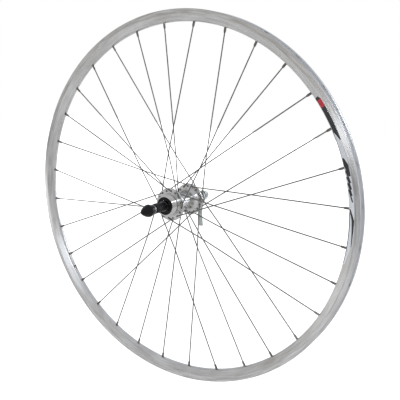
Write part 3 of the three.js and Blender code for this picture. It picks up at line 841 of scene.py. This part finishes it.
def locknut_mesh(node):
    """A hexagon nut, chamfered at both ends, with a toothed outer face that bites the frame."""
    low, high = span(node)
    face, back, inward = (low, high, 1) if low < 0 else (high, low, -1)
    teeth = serration(face, inward, 5.6, 7.6, teeth=30, depth=0.35)
    flats = hexagon(across_flats=16)
    points = outline((SLEEVE_BORE, back, 0.2), (7.9, back), (9.3, back - inward * 0.8),
                     (9.3, face + inward * 0.9), (7.8, face + inward * 0.05), (7.5, face), (5.7, face),
                     (5.5, face + inward * 0.05), (SLEEVE_BORE, face + inward * 0.4))
    return turned(points, 120, lambda r, y, degrees: flats(*teeth(r, y, degrees), degrees))


def axle_mesh():
    """The hollow axle, threaded where its nuts and cones sit."""
    low, high = span("axle")
    radius, bore, pitch = 5.0, 2.9, 1.0
    lead, run = 0.6, 14
    stretches = [(low + lead, low + run), (high - run, high - lead)]
    corners = [(bore, low, 0.2), (radius - 0.5, low, 0.1), (radius, low + 0.5)]
    for start, end in stretches:
        corners += threaded_stretch(radius, start, end, pitch, 6)
    corners += [(radius, high - 0.5), (radius - 0.5, high, 0.1), (bore, high, 0.2)]
    threads = [thread(radius, start, end, pitch, 0.5) for start, end in stretches]

    def warp(r, y, degrees):
        for cut in threads:
            r, y = cut(r, y, degrees)
        return r, y

    return turned(outline(*corners), 60, warp)


def add_axle():
    """The axle and the spacers, washers and locknuts on it."""
    piece("axle_hollow", axle_mesh(), STEEL, "axle", ["axle"])
    for node in ("drive_spacer", "drive_outer_spacer", "non_drive_spacer"):
        piece(f"{node}_turned", sleeve(node), BLACK_STEEL, "axle", [node])
    for node, material, slot in (("drive_washer", BLACK_STEEL, "black_steel"),
                                 ("non_drive_washer", STEEL, "steel")):
        piece(f"{node}_pressed", sleeve(node, 0.2), material, "axle", [node])
    for node in ("drive_locknut", "non_drive_locknut"):
        piece(f"{node}_hex", locknut_mesh(node), BLACK_STEEL, "axle", [node])


# ---------------------------------------------------------------- quick-release skewer

X_AXIS = Vector((1, 0, 0))
ROD_RADIUS = 2.5
ROD_PITCH = 0.8
ROD_THREAD_END = -62
PIN_RADIUS = 4.2
PIN_HALF = 5.3
ROD_CLEARANCE = 2.95  # the bore of the end cap and the saddle
ARM_LINE = [(87, -4.5), (83.2, -10.5), (78.6, -18), (76.2, -28), (76.5, -40), (79.4, -52),
            (81.6, -58)]  # the (y, z) middle line of the lever's arm, from the cam to the tip
TIP_RADIUS = 5.0
WAIST_Z = -19  # where the arm is narrowest
CAM_SLOT_HALF = 2.95


def nut_mesh():
    """The acorn nut: neck, wide grip ring and bullet nose, hollow behind."""
    tip, face = span("skewer_nut")
    grip = outer_radius("skewer_nut")
    nose = [(0, tip), (0.5, tip), (2.9, tip + 0.5, 1.8), (6.0, -93.8, 3.0), (9.0, -87.4, 3.5)]
    ring = [(grip, -82.8, 1.2), (grip, -79.4, 0.9)]
    neck = [(8.9, -78.2, 0.7), (7.7, -76.0, 1.4), (7.6, face, 0.3), (5.9, face, 0.2)]
    bore = [(5.9, -75.8), (4.9, -75.8), (4.9, -86.4), (3.0, -86.4), (3.0, -92.0), (0, -92.0)]
    return turned(outline(*nose, *ring, *neck, *bore, steps=8), 128)


def rod_mesh():
    """The skewer's rod: an M5 thread in the nut, a peened end in the cross pin."""
    low, high = span("skewer_rod")
    stretch = (ROD_RADIUS, low + 0.5, ROD_THREAD_END, ROD_PITCH)
    corners = [(0, low), (ROD_RADIUS - 0.4, low, 0.1), (ROD_RADIUS, low + 0.4),
               *threaded_stretch(*stretch, per_turn=6),
               (ROD_RADIUS, high - 0.7, 0.4), (ROD_RADIUS - 0.8, high, 0.3), (0, high)]
    return turned(outline(*corners), 36, thread(*stretch, depth=0.4))


def insert_mesh():
    """The threaded bush that the nut is moulded round."""
    low, high = span("nut_insert")
    radius, bore = outer_radius("nut_insert"), 2.8
    return turned(outline((bore, low, 0.2), (radius, low, 0.3), (radius, high, 0.3), (bore, high, 0.2)), 72)


def face_ring_mesh():
    """The steel ring in the nut's mouth, toothed where it bites the frame."""
    low, high = span("nut_face_ring")
    inner, outer = 5.95, 8.0
    points = outline((inner, low), (7.7, low, 0.1), (outer, low + 0.3), (outer, high - 0.3),
                     (7.75, high - 0.02), (7.6, high), (6.3, high), (6.1, high - 0.02), (inner, high - 0.3))
    return turned(points, 144, serration(high, -1, 6.2, 7.7, teeth=24, depth=0.45))


def end_cap_mesh():
    """The cap that bites the frame under the lever, with a recess for the spring."""
    low, high = span("lever_end_cap")
    outer, recess, floor = 9.0, 5.9, low + 1.8
    points = outline((recess, low + 0.3), (6.1, low + 0.02), (6.3, low), (8.2, low), (8.4, low + 0.02),
                     (outer, low + 0.7, 0.3), (outer, high - 0.6, 0.5), (8.2, high, 0.4),
                     (ROD_CLEARANCE, high), (ROD_CLEARANCE, floor), (recess, floor))
    return turned(points, 144, serration(low, 1, 6.2, 8.3, teeth=24, depth=0.45))


def saddle_mesh():
    """The plastic saddle that the cam rolls in."""
    (low, high), radius = span("cam_saddle"), outer_radius("cam_saddle")
    points = outline((ROD_CLEARANCE, low), (radius, low, 0.4), (radius, high, 0.3), (ROD_CLEARANCE, high))
    track, clearance = CAM_RADIUS + 6, 0.42
    centre = Vector((0, CAM_CENTRE - CAM_RADIUS - clearance + track, 0))
    return carved(turned(points, 96), cylinder(centre, X_AXIS, -14, 14, track, sides=160))


def pin_mesh():
    """The cross pin: chamfered ends with a centre dimple, bored for the rod."""
    half = PIN_HALF + 0.15
    end = [(PIN_RADIUS, half - 0.1, 0.35), (1.2, half - 0.1, 0.1), (0.5, half - 0.9), (0, half - 0.95)]
    start = [(radius, -y, *rest) for radius, y, *rest in reversed(end)]
    pin = stood(turned(outline(*start, *end), 72), Vector((0, PIVOT, 0)), X_AXIS)
    bore = cylinder(Vector((0, PIVOT, 0)), AXLE, -6, 6, ROD_RADIUS + 0.25, sides=32)
    return carved(pin, bore)


def rounded(wave, power):
    """A sine or cosine pushed towards its ends, which squares up the section drawn with it."""
    return math.copysign(abs(wave) ** power, wave)


def arm_mesh():
    """The lever's arm: soft-edged sections along its middle line, waisted, and thinner to the tip."""
    line = eased([(Vector((0, y, z)), 5.0) for y, z in ARM_LINE], steps=5)[3:-3]
    path = [Vector((0, *ARM_LINE[0])), *line, Vector((0, *ARM_LINE[-1]))]
    last = len(path) - 1
    sides = 32
    turns = [2 * math.pi * (k + 0.5) / sides for k in range(sides)]
    rings = []
    for i, place in enumerate(path):
        tangent = (path[min(i + 1, last)] - path[max(i - 1, 0)]).normalized()
        normal = tangent.cross(X_AXIS)
        half_thickness = 2.5 - 0.9 * (i / last)
        half_width = 3.85 + 1.1 * min(1, abs(place.z - WAIST_Z) / 20) ** 1.3
        rings.append([place + X_AXIS * half_width * rounded(math.cos(t), 0.45)
                      + normal * half_thickness * rounded(math.sin(t), 0.7) for t in turns])
    return skinned(rings)


def lever_mesh():
    """A cast lever: a slotted cam that straddles the rod, flowing into a curved arm with a round tip."""
    cam = outline((0, -PIN_HALF), (CAM_RADIUS, -PIN_HALF, 0.8), (CAM_RADIUS, PIN_HALF, 0.8), (0, PIN_HALF))
    drum = stood(turned(cam, 96), Vector((0, CAM_CENTRE, 0)), X_AXIS)
    sharp_edged = carved(drum, arm_mesh(), "UNION")
    cast = evaluated(sharp_edged, ("REMESH", {"mode": "VOXEL", "voxel_size": 0.35 * MM}),
                     ("SMOOTH", {"factor": 0.5, "iterations": 8}))
    tip_y, tip_z = ARM_LINE[-1]
    round_off = tip_z + 4
    round_tip = cylinder(Vector((0, tip_y, round_off)), AXLE, -30, 30, TIP_RADIUS, sides=96)
    keep = carved(round_tip, box_mesh(Vector((-9, 40, round_off)), Vector((9, 120, 20))), "UNION")
    slot = box_mesh(Vector((-CAM_SLOT_HALF, CAM_CENTRE - 15, -4.8)),
                    Vector((CAM_SLOT_HALF, CAM_CENTRE + 15, 15)))
    slotted = carved(carved(cast, keep, "INTERSECT"), slot)
    pin_bore = cylinder(Vector((0, PIVOT, 0)), X_AXIS, -9, 9, PIN_RADIUS + 0.12, sides=64)
    return carved(slotted, pin_bore)


def spring_mesh(small, large):
    """A short conical spring of round wire, from (radius, y) to (radius, y)."""
    turns, steps, wire_radius = 2, 96, 0.4
    path = []
    for i in range(steps + 1):
        t = i / steps
        radius, y = Vector(small).lerp(Vector(large), t)
        path.append(polar(radius, 360 * turns * t, y))
    return swept(path, [wire_radius] * len(path), 12)


def add_skewer():
    """The skewer from its rod out: lever side, nut side, and the two springs."""
    piece("rod", rod_mesh(), STEEL, "skewer", ["skewer_rod"])
    piece("cross_pin", pin_mesh(), STEEL, "skewer", ["cam_pin"])
    piece("saddle", saddle_mesh(), BLACK_PLASTIC, "axle", ["cam_saddle"])
    piece("end_cap", end_cap_mesh(), LEVER_ALLOY, "axle", ["lever_end_cap"])
    piece("lever_cast", lever_mesh(), LEVER_ALLOY, "lever", ["lever"], sharp=40)
    piece("acorn_nut", nut_mesh(), BLACK_ALLOY, "nut", ["skewer_nut"])
    piece("insert", insert_mesh(), BRASS, "nut_thread", ["nut_insert"])
    piece("face_ring", face_ring_mesh(), STEEL, "nut", ["nut_face_ring"])
    drive_coil = piece("drive_coil", spring_mesh((3.6, -73.4), (5.1, -75.0)), STEEL, "axle",
                       ["drive_spring"], sharp=60)
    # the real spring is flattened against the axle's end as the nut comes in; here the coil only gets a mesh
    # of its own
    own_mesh(drive_coil)
    piece("non_drive_coil", spring_mesh((3.6, 73.2), (5.1, 74.3)), STEEL, "axle",
          ["non_drive_spring"], sharp=60)


# ---------------------------------------------------------------- studio and camera

AZIMUTH, ELEVATION, ROLL = 34.12, 13.19, 2.33  # degrees
DISTANCE = 0.970  # metres
LENS = 50.8
SHIFT = (0.057, 0.006)
LAMP_WHITE = (0.90, 0.94, 1.0)


def add_camera():
    """The photograph's camera, turned about its own line of sight by the roll."""
    a, e, roll = (math.radians(v) for v in (AZIMUTH, ELEVATION, ROLL))
    place = Vector((math.sin(a) * math.cos(e), -math.cos(a) * math.cos(e), math.sin(e))) * DISTANCE
    ahead = -place.normalized()
    right = ahead.cross(Vector((0, 0, 1))).normalized()
    up = right.cross(ahead)
    right, up = (right * math.cos(roll) + up * math.sin(roll), up * math.cos(roll) - right * math.sin(roll))
    data = bpy.data.cameras.new("camera")
    data.lens = LENS
    data.shift_x, data.shift_y = SHIFT
    data.clip_start = 0.01
    camera = bpy.data.objects.new("camera", data)
    turn = Matrix((right, up, -ahead)).transposed()
    camera.matrix_world = Matrix.Translation(place) @ turn.to_4x4()
    bpy.context.collection.objects.link(camera)
    bpy.context.scene.camera = camera


def add_softbox(name, direction, distance, size, glow, colour=LAMP_WHITE):
    """A rectangular light aimed at the hub. glow is its radiance, where 1 is white. Sizes are in metres."""
    data = bpy.data.lights.new(name, "AREA")
    data.shape = "RECTANGLE"
    data.size, data.size_y = size
    data.energy = glow * math.pi * size[0] * size[1]
    data.color = colour
    place = Vector(direction).normalized() * distance
    lamp = bpy.data.objects.new(name, data)
    lamp.matrix_world = Matrix.Translation(place) @ place.to_track_quat("Z", "Y").to_matrix().to_4x4()
    lamp.visible_camera = False
    bpy.context.collection.objects.link(lamp)


def add_world():
    """White where the camera looks at it, and a softly graded room in what the metal reflects."""
    world = bpy.data.worlds.new("studio")
    bpy.context.scene.world = world
    world.use_nodes = True
    nodes, links = world.node_tree.nodes, world.node_tree.links
    room = nodes["Background"]
    split = nodes.new("ShaderNodeSeparateXYZ")
    links.new(nodes.new("ShaderNodeTexCoord").outputs["Generated"], split.inputs[0])

    def grade(axis, low, high):
        """Colours from one end of an axis to the other."""
        share = nodes.new("ShaderNodeMapRange")
        links.new(split.outputs[axis], share.inputs["Value"])
        share.inputs["From Min"].default_value = -1
        ramp = nodes.new("ShaderNodeValToRGB")
        links.new(share.outputs["Result"], ramp.inputs[0])
        stops = ramp.color_ramp.elements
        stops[0].position, stops[0].color = 0.40, (*low, 1)
        stops[1].position, stops[1].color = 0.85, (*high, 1)
        return ramp.outputs[0]

    product = nodes.new("ShaderNodeMix")
    product.data_type = "RGBA"
    product.blend_type = "MULTIPLY"
    product.inputs[0].default_value = 1
    links.new(grade(2, (0.54, 0.53, 0.51), (0.66, 0.67, 0.70)), product.inputs[6])
    links.new(grade(1, (0.90, 0.90, 0.90), (0.95, 0.98, 1.03)), product.inputs[7])
    links.new(product.outputs[2], room.inputs["Color"])
    backdrop = nodes.new("ShaderNodeBackground")
    blend = nodes.new("ShaderNodeMixShader")
    links.new(nodes.new("ShaderNodeLightPath").outputs["Is Camera Ray"], blend.inputs[0])
    links.new(room.outputs[0], blend.inputs[1])
    backdrop.inputs["Color"].default_value = (1, 1, 1, 1)
    links.new(backdrop.outputs[0], blend.inputs[2])
    links.new(blend.outputs[0], nodes["World Output"].inputs["Surface"])


def add_floor():
    """A matt grey sheet under the rim that glows, so the camera sees it as white.

    What the metal reflects of it is darker, and its glow there is painted light: none well in front of the
    wheel, some nearer the wheel, and most in a band to the left.
    """
    finish = Finish("white_floor", Roughness=0.9, Emission_Color=(1, 1, 1, 1))
    fibre = finish.noise(60.0, detail=4.0)
    seen = finish.add("ShaderNodeLightPath")
    across = finish.add("ShaderNodeSeparateXYZ", finish.place)
    # painted light: for what the metal reflects, the floor glows in a band to the left, and less nearer the
    # wheel
    left = finish.math("MULTIPLY", finish.scaled(across, 0.0, 0.56, start=-0.75, end=-1.15),
                       finish.scaled(across, 1.0, 0.0, start=-1.6, end=-2.3))
    near = finish.scaled(across.node.outputs[1], 0.0, 0.28, start=-1.2, end=-0.9)
    strength = finish.math("ADD", finish.math("MULTIPLY", seen, 0.8), finish.math("ADD", left, near))
    finish.links.new(strength, finish.shader.inputs["Emission Strength"])
    paper = finish.ramp(fibre, (0.50, 0.49, 0.48), (0.53, 0.52, 0.51))
    material = finish.use(paper, bump=fibre, strength=0.02)
    reach, drop = 4000, cad_box[0].z / MM - 0.4
    mesh = box_mesh(Vector((-reach, -reach, drop - 4)), Vector((reach, reach, drop)))
    mesh.materials.append(material)
    floor = bpy.data.objects.new("floor", mesh)
    bpy.context.collection.objects.link(floor)


bpy.context.scene.view_settings.view_transform = "Standard"
add_camera()
add_world()
add_floor()
add_softbox("key", (0.50, -0.76, 0.42), 2.2, (0.24, 0.22), 30)
add_softbox("front_spot", (-0.19, -0.98, -0.035), 2.2, (0.22, 0.13), 3.4)
add_softbox("front_panel", (0.15, -0.97, 0.15), 2.3, (0.7, 0.45), 1.6, (0.80, 0.88, 1.0))
add_softbox("rear_strip", (0.51, 0.79, 0.29), 2.2, (0.25, 0.30), 12)
add_softbox("rear_panel", (0.40, 0.90, -0.02), 2.2, (1.4, 0.45), 2.8, (0.84, 0.91, 1.0))

add_rim()
add_spokes()
add_hub()
add_axle()
add_skewer()
